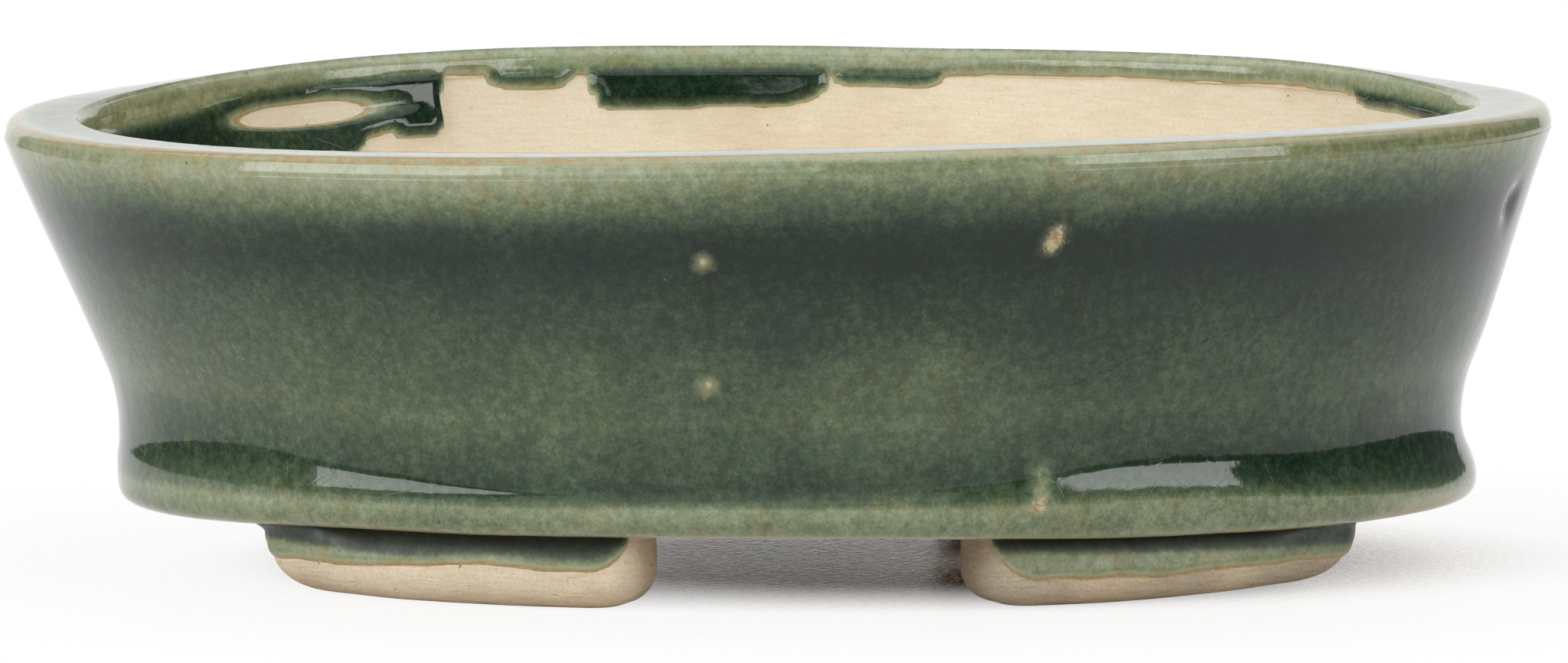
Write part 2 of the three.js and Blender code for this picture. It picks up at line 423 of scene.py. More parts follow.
def bend(piece):
    """Gives a regular ring the lean and warp of the hand-built pot."""
    points = np.empty(len(piece.data.vertices) * 3)
    piece.data.vertices.foreach_get("co", points)
    bent = hand_built(points.reshape(-1, 3) / mm) * mm
    piece.data.vertices.foreach_set("co", bent.ravel())
    piece.data.update()


def straight(start, end, steps):
    return [tuple(np.add(start, np.subtract(end, start) * step / steps)) for step in range(steps)]


def curve(start, corner, end, steps):
    """A round stretch that leaves start towards corner and reaches end from it."""
    spans = np.arange(steps)[:, None] / steps
    path = (1 - spans) ** 2 * start + 2 * spans * (1 - spans) * np.array(corner) + spans ** 2 * end
    return [tuple(point) for point in path]


def inner_face(level):
    """How far out the clay of the wall's inner face lies at a level."""
    return glaze_coat - rim_width - wall_lean * (seam_level - level)


def outer_wall(steps):
    """The clay outside the wall, upwards from the waist to its head under the lip."""
    waist = (-wall_waist - glaze_coat, waist_level)
    turn_end = (waist[0] + wall_lean * waist_turn, waist_level + 2 * waist_turn)
    head = (-lip_overhang - glaze_coat, wall_head)
    turn = curve(waist, (waist[0], waist_level + waist_turn), turn_end, steps)
    return turn + straight(turn_end, head, 2 * steps) + [head]


inner_seam = (inner_face(seam_level), seam_level)
wall_foot = (inner_face(slab_top) - inner_fillet, slab_top - 0.15)
fillet_top = (inner_face(slab_top + inner_fillet), slab_top + inner_fillet)
wall_outline = outer_wall(16)
wall_outline += straight(inner_seam, fillet_top, 48)
wall_outline += curve(fillet_top, (inner_face(slab_top), slab_top), wall_foot, 8)
wall_outline += straight(wall_foot, (-slab_inset, slab_top), 6)
wall_piece = oval_ring("clay_wall", wall_outline, ring_steps, finger_marks=0.22, seed=3)
bend(wall_piece)
keep(wall_piece, "bare_clay", "pot_wall")

# Base band
# A coil pressed into the angle of the wall and the slab, then drawn with a wet leather into a hollow
# above and a roll below. It carries the glaze, and only its underside stays bare.

band_face = half_length - band_high.x / mm
band_roll = 1.3
band_under = 1.2
hollow_depth = wall_waist + glaze_coat - band_face


def outer_band(steps):
    """The clay outside the band, upwards from its underside to the waist."""
    under = (-band_face - band_under, slab_bottom + 0.05)
    shoulder = slab_bottom + band_roll
    roll = curve(under, (-band_face, slab_bottom), (-band_face, shoulder), steps)
    share = np.linspace(0, 1, 2 * steps + 1)
    drawn_in = hollow_depth * np.where(share < 0.5, 2 * share ** 2, 1 - 2 * (1 - share) ** 2)
    return roll + list(zip(-band_face - drawn_in, shoulder + (waist_level - shoulder) * share))


band_outline = outer_band(12)
band_outline += [(-slab_inset, slab_top), (-slab_inset, slab_bottom)]
band_piece = oval_ring("clay_band", band_outline, ring_steps, finger_marks=0.1, seed=5)
bend(band_piece)
keep(band_piece, "bare_clay", "base_band")

# Rim strip
# A flat strip laid on the wall's top edge and beaten on, so its seam still shows as a crease outside.
# It is flush with the wall inside, and its lip is rounded over with a wet leather.

rim_inner_round = 1.0
lip_round = 1.6
lip_widest = crease_level + 0.02
lip_bend = crease_level + 0.8
lip_slope = 0.23
seam_cover = 0.6


def over_rim(steps):
    """The clay over the rim, from the seam outside, round the lip and the top face, to the seam inside."""
    top = pot_top - glaze_coat
    head = (-lip_overhang - glaze_coat, wall_head)
    lip = (-glaze_coat, lip_widest)
    bend_point = (-glaze_coat - lip_slope * (lip_bend - lip_widest), lip_bend)
    top_edge = (-lip_round, top)
    inner_edge = (rim_inner_round - rim_width, top)
    inside = (glaze_coat - rim_width, pot_top - rim_inner_round - glaze_coat)
    path = straight(head, lip, steps) + straight(lip, bend_point, steps)
    path += curve(bend_point, (bend_point[0] - lip_slope * (top - lip_bend), top), top_edge, steps)
    path += straight(top_edge, inner_edge, steps)
    path += curve(inner_edge, (glaze_coat - rim_width, top), inside, steps)
    return path + straight(inside, inner_seam, steps // 2 + 1)


rim_outline = over_rim(10) + [inner_seam, (-glaze_coat - seam_cover, seam_level)]
rim_piece = oval_ring("clay_rim", rim_outline, ring_steps, finger_marks=0.05, seed=7)
bend(rim_piece)
keep(rim_piece, "bare_clay", "rim_strip")

# Feet
# Four bars rolled under the slab along its edge, drawn in at the neck and wiped round at the ends.
# Their undersides are rubbed flat after firing, and each came out a little different.

foot_inset = 9.4
foot_height = slab_bottom
foot_width = 9
foot_length = 34.5
foot_gap = 27.4
foot_stretch = {(-1, -1): 1.0, (1, -1): 1.035, (-1, 1): 1.02, (1, 1): 1.0}
foot_lift = {(-1, -1): 0.15, (1, -1): 0.45, (-1, 1): 0.1, (1, 1): 0.2}
foot_corner_radii = {"inner": 2.2, "outer": 3.0, "back": 2.2}
corner_steps = 13
plan_step = 0.5
foot_rows = 36
neck_share = 0.45
foot_sides = {
    "face": {"neck": 1.4, "bulge": 2.6, "toe": 3.6},
    "outer": {"neck": -1.0, "bulge": 4.9, "toe": 4.8},
    "inner": {"neck": 0.1, "bulge": 3.7, "toe": 3.8},
    "back": {"neck": 0.0, "bulge": 1.4, "toe": 1.2},
}


def blend(first, second, share):
    return first + (second - first) * share


def ripple(points, size, seed):
    """Smooth unevenness from -1 to 1 at points in millimetres, with lumps of about that size."""
    shift = Vector((17.3, 5.1, 11.7)) * seed
    flat = points.reshape(-1, 3) / size
    return np.array([noise.noise(Vector(point) + shift) for point in flat]).reshape(points.shape[:-1])


def grid_faces(rows, columns, wrap_rows, wrap_columns):
    """Squares between the neighbours of a grid of points, joined end to end where it wraps."""
    row, column = np.meshgrid(np.arange(rows if wrap_rows else rows - 1),
                              np.arange(columns if wrap_columns else columns - 1), indexing="ij")
    next_row = (row + 1) % rows
    next_column = (column + 1) % columns
    corners = (row, column), (next_row, column), (next_row, next_column), (row, next_column)
    return np.stack([at_row * columns + at_column for at_row, at_column in corners], axis=-1).reshape(-1, 4)


def mesh_piece(name, points, faces, caps, material):
    """An object of squares and end caps, with its points in millimetres and its faces outwards."""
    first, second, third, fourth = np.moveaxis(points[faces], 1, 0)
    volume = np.sum(first * (np.cross(second, third) + np.cross(third, fourth)))
    turn = 1 if volume > 0 else -1
    mesh = new_mesh(name, (points * mm).tolist(), [face[::turn] for face in faces.tolist() + caps])
    mesh.materials.append(material)
    mesh.shade_smooth()
    return new_object(name, mesh)


def foot_plan():
    """The foot's outline seen from above: points (along, inwards) and their outward directions."""
    inner, outer, back = foot_corner_radii.values()
    corners = [((inner, inner), inner, 180), ((foot_length - outer, outer), outer, 270),
               ((foot_length - back, foot_width - back), back, 0), ((back, foot_width - back), back, 90)]
    points = []
    ways = []
    for centre, radius, start in corners:
        turn = np.radians(np.linspace(start, start + 90, corner_steps))
        way = np.column_stack([np.cos(turn), np.sin(turn)])
        points.append(np.array(centre) + radius * way)
        ways.append(way)
    all_points = []
    all_ways = []
    for here, there, way in zip(points, points[1:] + points[:1], ways):
        steps = int(np.linalg.norm(there[0] - here[-1]) / plan_step)
        span = np.arange(1, steps)[:, None] / steps
        all_points += [here, blend(here[-1], there[0], span)]
        all_ways += [way, np.repeat(way[-1:], steps - 1, axis=0)]
    return np.vstack(all_points), np.vstack(all_ways)


def foot_surface(points, ways, rows):
    """The foot's side as (along, inwards, level) for every plan point and every share of its height."""
    turned = {"face": -ways[:, 1], "back": ways[:, 1], "outer": ways[:, 0], "inner": -ways[:, 0]}
    weights = {side: np.clip(turned[side], 0, 1) ** 2 for side in turned}
    near_end = ease(points[:, 0], foot_length - 13, foot_length - 1)[:, None]
    at_end = near_end * (1 - weights["back"])[:, None]
    neck, bulge = [sum(weights[side] * foot_sides[side][key] for side in weights)[:, None]
                   for key in ("neck", "bulge")]
    neck = blend(neck, foot_sides["outer"]["neck"], at_end)
    bulge = blend(bulge, foot_sides["outer"]["bulge"], at_end)
    upper = np.clip(rows / neck_share, 0, 1)[None]
    lower = np.clip((rows - neck_share) / (1 - neck_share), 0, 1)[None]
    level = np.where(lower > 0, bulge * (1 - lower) ** 2, blend(foot_height, bulge, upper))
    drawn_in = (neck * (1 - upper) ** 2)[..., None]
    along, inwards = np.moveaxis(points[:, None] - ways[:, None] * drawn_in, -1, 0)
    toe = {side: foot_sides[side]["toe"] * lower ** 2 for side in foot_sides}
    front_toe = blend(toe["face"], toe["outer"], near_end)
    along = toe["inner"] + along * (1 - (toe["inner"] + toe["outer"]) / foot_length)
    inwards = front_toe + inwards * (1 - (front_toe + toe["back"]) / foot_width)
    return np.stack([along, inwards, level], axis=-1)


turns = np.linspace(0, np.pi / 2, 400)
face_speed = np.hypot((half_length - foot_inset) * np.cos(turns), (half_width - foot_inset) * np.sin(turns))
face_distance = np.concatenate([[0], np.cumsum((face_speed[1:] + face_speed[:-1]) / 2 * np.diff(turns))])


def under_oval(surface, side_x, side_y):
    """Places points (along, inwards, level) of a foot under its quarter of the oval."""
    along = foot_gap / 2 + surface[..., 0] * foot_stretch[side_x, side_y]
    turn = np.interp(along, face_distance, turns)
    inset = foot_inset + surface[..., 1]
    lift = foot_lift[side_x, side_y] * ease(surface[..., 0], 8, 28)
    level = surface[..., 2] + lift * np.clip(1 - surface[..., 2] / foot_height, 0, 1) ** 2
    return np.stack([side_x * (half_length - inset) * np.sin(turn),
                     side_y * (half_width - inset) * np.cos(turn), level], axis=-1)


# The right feet get a darker copy of the clay: painted shade for the weaker light on that side, with more
# soil marks as well.
foot_clays = [bare_stoneware("worn_stoneware", 0.45), bare_stoneware("shaded_soiled_stoneware", 0.7, 0.65)]
plan_points, plan_ways = foot_plan()
foot_shares = np.linspace(0, 1, foot_rows)
feet = {}
for seed, (name, side_x, side_y) in enumerate([
        ("foot_front_left", -1, -1), ("foot_front_right", 1, -1),
        ("foot_back_left", -1, 1), ("foot_back_right", 1, 1)]):
    surface = foot_surface(plan_points, plan_ways, foot_shares)
    placed = under_oval(surface, side_x, side_y)
    bumps = 0.13 * ripple(placed, 4.5, seed + 1) + 0.05 * ripple(placed, 1.4, seed + 9)
    bumps *= np.sin(np.pi * np.clip(foot_shares * 1.02, 0, 1))
    surface[..., :2] += plan_ways[:, None] * bumps[..., None]
    feet[name] = (surface, side_x, side_y)
    placed = under_oval(surface, side_x, side_y).reshape(-1, 3)
    top_cap = list(range(0, len(placed), foot_rows))[::-1]
    foot_cap = list(range(foot_rows - 1, len(placed), foot_rows))
    foot_piece = mesh_piece("clay_" + name, placed, grid_faces(len(plan_points), foot_rows, True, False),
                            [top_cap, foot_cap], foot_clays[seed % 2])
    keep(foot_piece, "bare_clay", name)

# Body glaze
# One coat of a glossy green ash glaze, poured over the outside and the rim. It runs in firing: it pools
# dark in the hollow above the band, breaks pale and amber on edges, and ends inside in drips.

around_steps = 512
angles = np.arange(around_steps) * math.tau / around_steps
glaze_reach = 8.6
glaze_under = 0.9
bare_depth = -0.18
hidden_depth = -0.3
hidden_steps = 20

# Each run inside: where it hangs in degrees, half its width, how far it reaches down and its coat.
inside_runs = [
    (172, 24, 7.4, 0.85), (137, 9.5, 7.6, 0.62), (129, 5.5, 5.8, 0.62), (122, 2.9, 6.1, 0.85),
    (110.5, 3.6, 2.9, 0.55), (102.4, 2.4, 4.5, 0.85), (94.8, 9.8, 4.5, 0.85), (79.5, 4.6, 3.0, 0.6),
    (54, 11, 1.9, 0.42), (22, 7.5, 2.9, 0.8), (4, 8, 3.2, 0.7), (-18, 6, 3.2, 0.6),
    (-41, 4, 4.6, 0.75), (-66, 9, 2.9, 0.5), (-92, 3.4, 5.4, 0.85), (-113, 8, 3.6, 0.7),
    (-140, 5, 4.4, 0.75),
]
# Among the runs: a bare window, a pool that starts lower and a run that lies flatter than its colour.
window_at, window_half, window_depth, window_rise = 134, 6.4, 3.7, 0.75
late_pool_at, late_pool_half = 157, 11
flat_run_at, flat_run_half, flat_run_build = 165, 25, 0.5
shallow_reach = 2.05
shallow_coat = 0.42
strip_coat = 0.27


def hump(value, middle, width, flatness=2):
    """A smooth hump: 1 at its middle and nearly gone two widths away."""
    return np.exp(-((value - middle) / width) ** flatness)


def around_gap(centre):
    """How far along the rim, in millimetres, each angle lies from a place given in degrees."""
    at = math.radians(centre)
    turn = (angles - at + np.pi) % math.tau - np.pi
    return turn * math.hypot((half_length - rim_width) * math.sin(at),
                             (half_width - rim_width) * math.cos(at))


# The clay under the glaze goes up the outside, over the rim and down the inside.
under_edge = (-band_face - band_under - glaze_under, slab_bottom + 0.02)
glaze_bottom = (inner_face(pot_top - glaze_reach), pot_top - glaze_reach)
clay_outline = straight(under_edge, (-band_face - band_under, slab_bottom + 0.05), 4)
clay_outline += outer_band(10)[:-1] + outer_wall(14)[:-1] + over_rim(10)
clay_outline += straight(inner_seam, glaze_bottom, 28) + [glaze_bottom]
clay_outline = np.array(clay_outline)
clay_out, clay_level = clay_outline.T
ahead = np.gradient(clay_outline, axis=0)
ahead /= np.linalg.norm(ahead, axis=1)[:, None]
clay_normals = np.column_stack([ahead[:, 1], -ahead[:, 0]])
top_index = int(np.argmax(clay_level - 1e-4 * np.abs(clay_out + 3)))
is_inside = np.arange(len(clay_outline)) > top_index
below_top = pot_top - clay_level

outside_coat = np.interp(clay_level, [
    5.73, 6.05, 6.4, 6.9, 7.2, 7.6, 8.2, 9.2, 10.0, 10.8, 12.7, 15.2, 19.6, 24.5, 26.5,
    28.2, 30.1, 31.7, 32.9, 34.6, 35.15, 35.5, 35.8, 36.05], [
    0.12, 0.28, 0.35, 0.31, 0.3, 0.42, 0.54, 0.63, 0.68, 0.66, 0.55, 0.44, 0.48, 0.59, 0.7,
    0.85, 0.74, 0.52, 0.4, 0.26, 0.25, 0.26, 0.17, 0.1])
top_coat = np.interp(-clay_out, [0.9, 1.8, 3, 5.2, 6.2], [0.1, 0.3, 0.4, 0.36, 0.2])
on_top = below_top < glaze_coat + 0.02
plain_coat = np.where(on_top, top_coat, np.where(is_inside, 0.22, outside_coat))
plain_build = np.where(is_inside & ~on_top, plain_coat, glaze_coat)


def on_clay(coat):
    """Points of the pot's glazed surface for a coat given at every angle and outline point."""
    out = clay_out + clay_normals[:, 0] * coat
    level = clay_level + clay_normals[:, 1] * coat
    cosine = np.cos(angles)[:, None]
    sine = np.sin(angles)[:, None]
    return np.stack([(half_length + out) * cosine, (half_width + out) * sine,
                     np.broadcast_to(level, out.shape)], axis=-1)


# The coat gives the colour, and the build the shape, both in millimetres.
base = on_clay(np.zeros((around_steps, len(clay_outline))))
across = base[..., 0]
waves = ripple(base, 16, 21)
mottle = ripple(base, 5, 22)
fine = ripple(base, 1.9, 23)
front = ease(-base[..., 1], -5, 15)
pooled_ends = 0.2 * ease(across, 16, 36) - 0.08 * ease(-across, 22, 40)
pooled_ends = pooled_ends * hill(clay_level, 5.9, 7.6, 11, 13)
wall_right = 0.23 * ease(across, -34, 4) * hill(clay_level, 11.5, 14, 30, 32)
under_lip = 0.2 * hump(across, 8, 15) - 0.16 * ease(-across, 8, 30)
under_lip = under_lip + 0.18 * ease(across, 26, 42) + 0.1 * ease(-across, 34, 46)
under_lip = under_lip * ease(clay_level, 30.5, 32.5)
pale_wall = 0.24 * hump(across, 9, 11) * hill(clay_level, 11.5, 14, 19.5, 23.5)
pale_roll = 0.08 * hump(across, -12, 9) * hill(clay_level, 6, 6.5, 7.2, 8)
streak = 0.52 * hump(across, 17.8, 0.75, 4) * hill(clay_level, 7, 8, 10.5, 12)
chipped = 0.6 * ease(across, 42, 50) * (1 - ease(clay_level, 6.4, 7.4))
thicker = pooled_ends + wall_right + under_lip
thinner = pale_wall + pale_roll + streak + chipped
coat = plain_coat * (1 + 0.08 * waves + 0.05 * mottle + front * (thicker - thinner))
build = plain_build + 0.03 * waves + 0.012 * mottle + 0.01 * fine

run_reach = np.full(around_steps, shallow_reach)
run_coat = np.full(around_steps, shallow_coat)
for centre, half_run, reach, thick in inside_runs:
    gap = np.clip(np.abs(around_gap(centre)) / half_run, 0, 1)
    tongue = (1 - gap ** 5) ** 0.5
    run_coat = np.maximum(run_coat, blend(shallow_coat, thick, tongue))
    run_reach = np.maximum(run_reach, blend(shallow_reach, reach, tongue))
run_reach = run_reach[:, None] + 0.3 * ripple(base, 6, 24) + 0.12 * fine
to_edge = run_reach - below_top
late_pool = hump(around_gap(late_pool_at), 0, late_pool_half, 4)[:, None]
pool_share = ease(below_top, 1.2 + 1.2 * late_pool, 2.4 + 1.5 * late_pool)
pooled = blend(strip_coat, run_coat[:, None], pool_share)
inside_coat = pooled * np.sqrt(np.clip(to_edge / 0.6, 0, 1)) + bare_depth * np.clip(-to_edge / 0.25, 0, 1)
window = np.hypot(around_gap(window_at)[:, None] / window_half,
                  (below_top - window_depth) / window_rise) + 0.22 * mottle
inside_coat = np.where(below_top > 2, np.minimum(inside_coat, (window - 1) * 1.2), inside_coat)
inside_coat = np.maximum(inside_coat, bare_depth)
in_flat_run = np.abs(around_gap(flat_run_at))[:, None] < flat_run_half
inside_build = np.where(in_flat_run, np.minimum(inside_coat, flat_run_build), inside_coat)
inner_share = np.where(is_inside, ease(below_top, 0.6, 1.3), 0)
coat = blend(coat, inside_coat, inner_share)
build = blend(build, inside_build, inner_share)

edge_wander = 0.14 * mottle + 0.1 * fine
under_share = ease(-clay_out - edge_wander, band_face + 0.95, band_face + 1.25)
under_share = under_share * (clay_level < slab_bottom + 0.6)
coat = blend(coat, bare_depth, under_share)
build = blend(build, bare_depth, under_share)

# Each pinhole or chip: place across, level, radius, height for its width, lean in degrees and the
# bare share of its radius.
surface_marks = [(-7.4, 28.0, 1.25, 1.0, 0, 0.3), (-7.6, 18.3, 1.4, 1.0, 0, 0.24),
                 (19.7, 29.6, 1.3, 1.75, 24, 0.58), (17.25, 7.1, 1.2, 0.9, 0, 0.7)]
dent_place, dent_width, dent_depth = (56.7, -12.3, 29.3), 1.4, 0.5
mark_places = []
for mark_across, mark_level, radius, *_ in surface_marks:
    gap = np.hypot(across - mark_across, clay_level - mark_level)
    gap = np.where(is_inside | (base[..., 1] > 0), np.inf, gap)
    mark_places.append(np.unravel_index(np.argmin(gap), gap.shape))
    build = build - 0.12 * hump(gap, 0, radius / 2)
seam_crease = 0.07 * hump(clay_level, crease_level, 0.06) * ~is_inside * ~on_top
seam_crease = seam_crease * (1 - 0.85 * hump(across, 9, 9)) * (1 - ease(-across, 40, 50))
dent = dent_depth * hump(np.linalg.norm(base - dent_place, axis=-1), 0, dent_width)
skin = on_clay(build - seam_crease - dent)

amber_edge = 0.5 * ease(clay_level, crease_level + 0.5, crease_level + 1.0)
amber_edge = amber_edge * (1 - ease(-clay_out, 1.4, 2.4)) * (1 - ease(-across, 52, 60))
amber_edge = amber_edge * (1 - 0.7 * hump(across, 4, 12))
right_lip = 0.62 * ease(across, 22, 40) * ease(clay_level, crease_level - 0.1, crease_level + 0.1)
outside_stain = np.maximum(amber_edge, right_lip * (1 - 0.7 * on_top))
stain = np.where(is_inside, 0.7 * ease(-across, 30, 48), outside_stain)

hidden_rows = np.linspace(len(clay_outline) - 1, 0, hidden_steps).astype(int)
hidden = on_clay(np.full((around_steps, len(clay_outline)), hidden_depth))[:, hidden_rows]
loop = np.hstack([skin, hidden])
loop_points = hand_built(loop.reshape(-1, 3))
loop_coat = np.hstack([coat, np.full((around_steps, hidden_steps), 0.3)])
loop_stain = np.hstack([stain, np.zeros((around_steps, hidden_steps))])

# The glaze's shade for its thickness in millimetres, from a bare wash to a deep pool.
glaze_shades = [
    (0.0, (0.58, 0.44, 0.25)), (0.05, (0.5, 0.37, 0.19)), (0.1, (0.37, 0.295, 0.15)),
    (0.14, (0.41, 0.38, 0.23)), (0.2, (0.355, 0.395, 0.27)), (0.28, (0.235, 0.282, 0.166)),
    (0.38, (0.125, 0.17, 0.093)), (0.48, (0.072, 0.11, 0.06)), (0.6, (0.036, 0.066, 0.036)),
    (0.72, (0.017, 0.038, 0.019)), (0.88, (0.005, 0.019, 0.008)), (1.0, (0.001, 0.013, 0.004)),
]
hair_crack_middle = (37.3 * mm, 0, 22.85 * mm)
hair_crack_turn = math.radians(-16.2)


def seen_from(place, middle, turn=(0, 0, 0), sizes=(1, 1, 1)):
    """The place as measured from a middle, along axes turned and stretched with it."""
    return node("ShaderNodeMapping", {
        "Vector": place, "Location": middle, "Rotation": turn, "Scale": sizes}, vector_type="TEXTURE")


def length_of(vector):
    return node("ShaderNodeVectorMath", {0: vector}, "Value", operation="LENGTH")


def hair_crack(place, grain):
    """How strongly a fine broken crack that climbs across the right of the wall shows at a place."""
    line = axes_of(seen_from(place, hair_crack_middle, (0, hair_crack_turn, 0)))
    wander = between(lumps(place, 220, 3), 0.2, 0.8, -0.5 * mm, 0.5 * mm)
    off_line = maths("ABSOLUTE", maths("ADD", line["Z"], wander))
    along = maths("ABSOLUTE", line["X"])
    return times(between(off_line, 0.12 * mm, 0.05 * mm, 0.0, 0.65),
                 between(along, 21 * mm, 17 * mm), between(line["Y"], 0.0, -4 * mm),
                 between(grain, 0.4, 0.6, 0.15, 1.0))


def green_glaze(name, dullness, marks):
    """Glossy ash glaze whose colour follows how thick it lies: pale and amber where it is thin, and
    dark where it pooled."""
    material, shader, place = new_finish(name)
    thick, stain = [node("ShaderNodeAttribute", {}, "Fac", material.node_tree, attribute_name=kept)
                    for kept in ("glaze_coat", "iron_stain")]
    level = axes_of(place)["Z"]

    clouds = lumps(place, 160, 4, 0.6)
    grain = lumps(place, 1300, 3, 0.6)
    pepper = lumps(place, 4200, 2, 0.6)
    vary = 1.0
    for pattern, amount in ((clouds, 0.07), (grain, 0.15), (pepper, 0.1)):
        vary = maths("ADD", vary, between(pattern, 0.25, 0.75, -amount, amount))
    grit = times(between(lumps(place, 1700, 3, 0.7), 0.3, 0.7, -0.06, 0.06), between(thick, 0.21, 0.13))
    colour = node("ShaderNodeValToRGB", {"Fac": maths("ADD", times(thick, vary), grit)}, "Color")
    stops = colour.node.color_ramp.elements
    stops.remove(stops[1])
    stops[0].color = (*glaze_shades[0][1], 1)
    for thickness, shade in glaze_shades[1:]:
        stops.new(thickness).color = (*shade, 1)

    blue_haze = times(between(lumps(place, 95, 3), 0.44, 0.64, 0.0, 0.3),
                      between(thick, 0.45, 0.65), between(level, 12.5 * mm, 15 * mm))
    # A dark grey veil over thick glaze low down, on the feet's necks: painted shade under the band.
    neck_painted_shade = times(between(level, 6.0 * mm, 5.6 * mm, 0.0, 0.38), between(thick, 0.4, 0.6))
    olive = between(lumps(place, 420, 4, 0.65), 0.47, 0.66, 0.0, 0.6)
    stained = times(stain, between(lumps(place, 800, 3, 0.6), 0.3, 0.62, 0.35, 1.0))
    rust = times(between(lumps(place, 1900, 3), 0.62, 0.76), between(thick, 0.55, 0.25, 0.08, 0.4))
    specks = maths("MAXIMUM", flecks(place, 480, 0.3, 0.03, 0.09), flecks(place, 1100, 0.2, 0.05, 0.11))
    bubbles = flecks(place, 700, 0.16, 0.03, 0.06)
    web = node("ShaderNodeTexVoronoi", {"Vector": place, "Scale": 190}, "Distance",
               feature="DISTANCE_TO_EDGE")
    crackle = between(web, 0.01, 0.003)
    layers = [
        (blue_haze, (0.012, 0.025, 0.028)), (neck_painted_shade, (0.06, 0.066, 0.077)),
        (olive, (0.95, 0.8, 0.6), "MULTIPLY"), (stained, (0.72, 0.64, 0.45), "MULTIPLY"),
        (rust, (0.2, 0.115, 0.045)), (times(specks, 0.7), (0.018, 0.02, 0.012)),
        (times(bubbles, 0.5), (0.3, 0.36, 0.32)), (times(crackle, 0.12), (0.03, 0.035, 0.022)),
        (hair_crack(place, grain), (0.012, 0.016, 0.01)),
    ]
    for spot, radius, tall, lean, bare in marks:
        gap = length_of(seen_from(place, spot, (0, math.radians(lean), 0), (1, 1, tall)))
        uneven = times(gap, between(grain, 0.25, 0.75, 0.85, 1.2))
        ragged = times(uneven, between(pepper, 0.3, 0.7, 0.75, 1.3))
        halo = between(uneven, radius, 0.0, 0.0, 0.75)
        chip = between(ragged, radius * bare, radius * bare * 0.4)
        burnt = times(chip, between(grain, 0.5, 0.58, 0.0, 0.8))
        layers += [(halo, (0.31, 0.32, 0.18)), (chip, (0.5, 0.44, 0.255)),
                   (burnt, (0.27, 0.165, 0.065))]
    for share, shade, *mode in layers:
        colour = mixed(share, colour, (*shade, 1), *mode)

    height = maths("ADD", lumps(place, 420, 2), times(grain, 0.3))
    height = maths("SUBTRACT", height, times(crackle, 0.1))
    feed(shader, {"Base Color": colour, "Roughness": between(grain, 0.3, 0.7, *dullness),
                  "IOR": 1.45, "Normal": relief(height, 0.4, 0.06 * mm)})
    return material


def keep_glaze(piece, coat, stain, cad_node):
    """Fixes a glaze skin to the pot, with its coat in millimetres and its iron stain at every point."""
    for name, values in (("glaze_coat", coat), ("iron_stain", stain)):
        kept = piece.data.attributes.new(name, "FLOAT", "POINT")
        kept.data.foreach_set("value", np.maximum(values, 0).ravel().astype(np.float32))
    keep(piece, "green_glaze", cad_node)


body_marks = [(tuple(loop_points.reshape(loop.shape)[place] * mm), radius * mm, tall, lean, bare)
              for place, (*_, radius, tall, lean, bare) in zip(mark_places, surface_marks)]
body_glaze = mesh_piece(
    "glaze_on_body", loop_points, grid_faces(around_steps, loop.shape[1], True, True), [],
    green_glaze("green_ash_glaze", (0.05, 0.1), body_marks))
keep_glaze(body_glaze, loop_coat, loop_stain, "body_glaze")

# Foot glaze
# The same glaze where it ran down on the feet: thick and dark under the band, where the darkness is partly
# painted shade of the band's overhang, thinning to a wavy amber edge, and wiped off the lower part and the
# inner ends so the feet would not stick in the kiln.

foot_glaze_coat = 0.34
foot_bare_depth = -0.15
foot_edge_wave = 0.5
# Each foot: its edge's level and fall outwards, the level, rise and added coat of its pool and painted neck
# shade, and its thin coat.
foot_glazes = [(3.2, 0.6, 2.9, 0.055, 0.46, 0.26), (2.2, -0.2, 4.65, -0.03, 0.4, 0.28),
               (2.5, 0.4, 3.5, 0.03, 0.44, 0.28), (2.3, 0.2, 4.2, -0.02, 0.42, 0.3)]
foot_stain = 0.35
foot_glaze = green_glaze("satin_ash_glaze", (0.38, 0.5), [])
on_outer_end = (plan_ways[:, 0] > 0.3) & (plan_points[:, 1] < 8)
glazed_plan = np.flatnonzero((plan_ways[:, 1] < -0.2) | on_outer_end)
glazed_rows = np.linspace(0, 0.8, 44)

wide_rows = np.interp(glazed_rows, foot_shares, np.arange(foot_rows))
low_row = np.floor(wide_rows).astype(int)
high_row = np.minimum(low_row + 1, foot_rows - 1)
row_part = (wide_rows - low_row)[:, None]
half_plan = (len(glazed_plan) - 1) / 2
end_gap = np.abs(np.arange(len(glazed_plan)) - half_plan)
end_share = ease(end_gap, half_plan - 5, half_plan - 1)[:, None]
ways = plan_ways[glazed_plan]

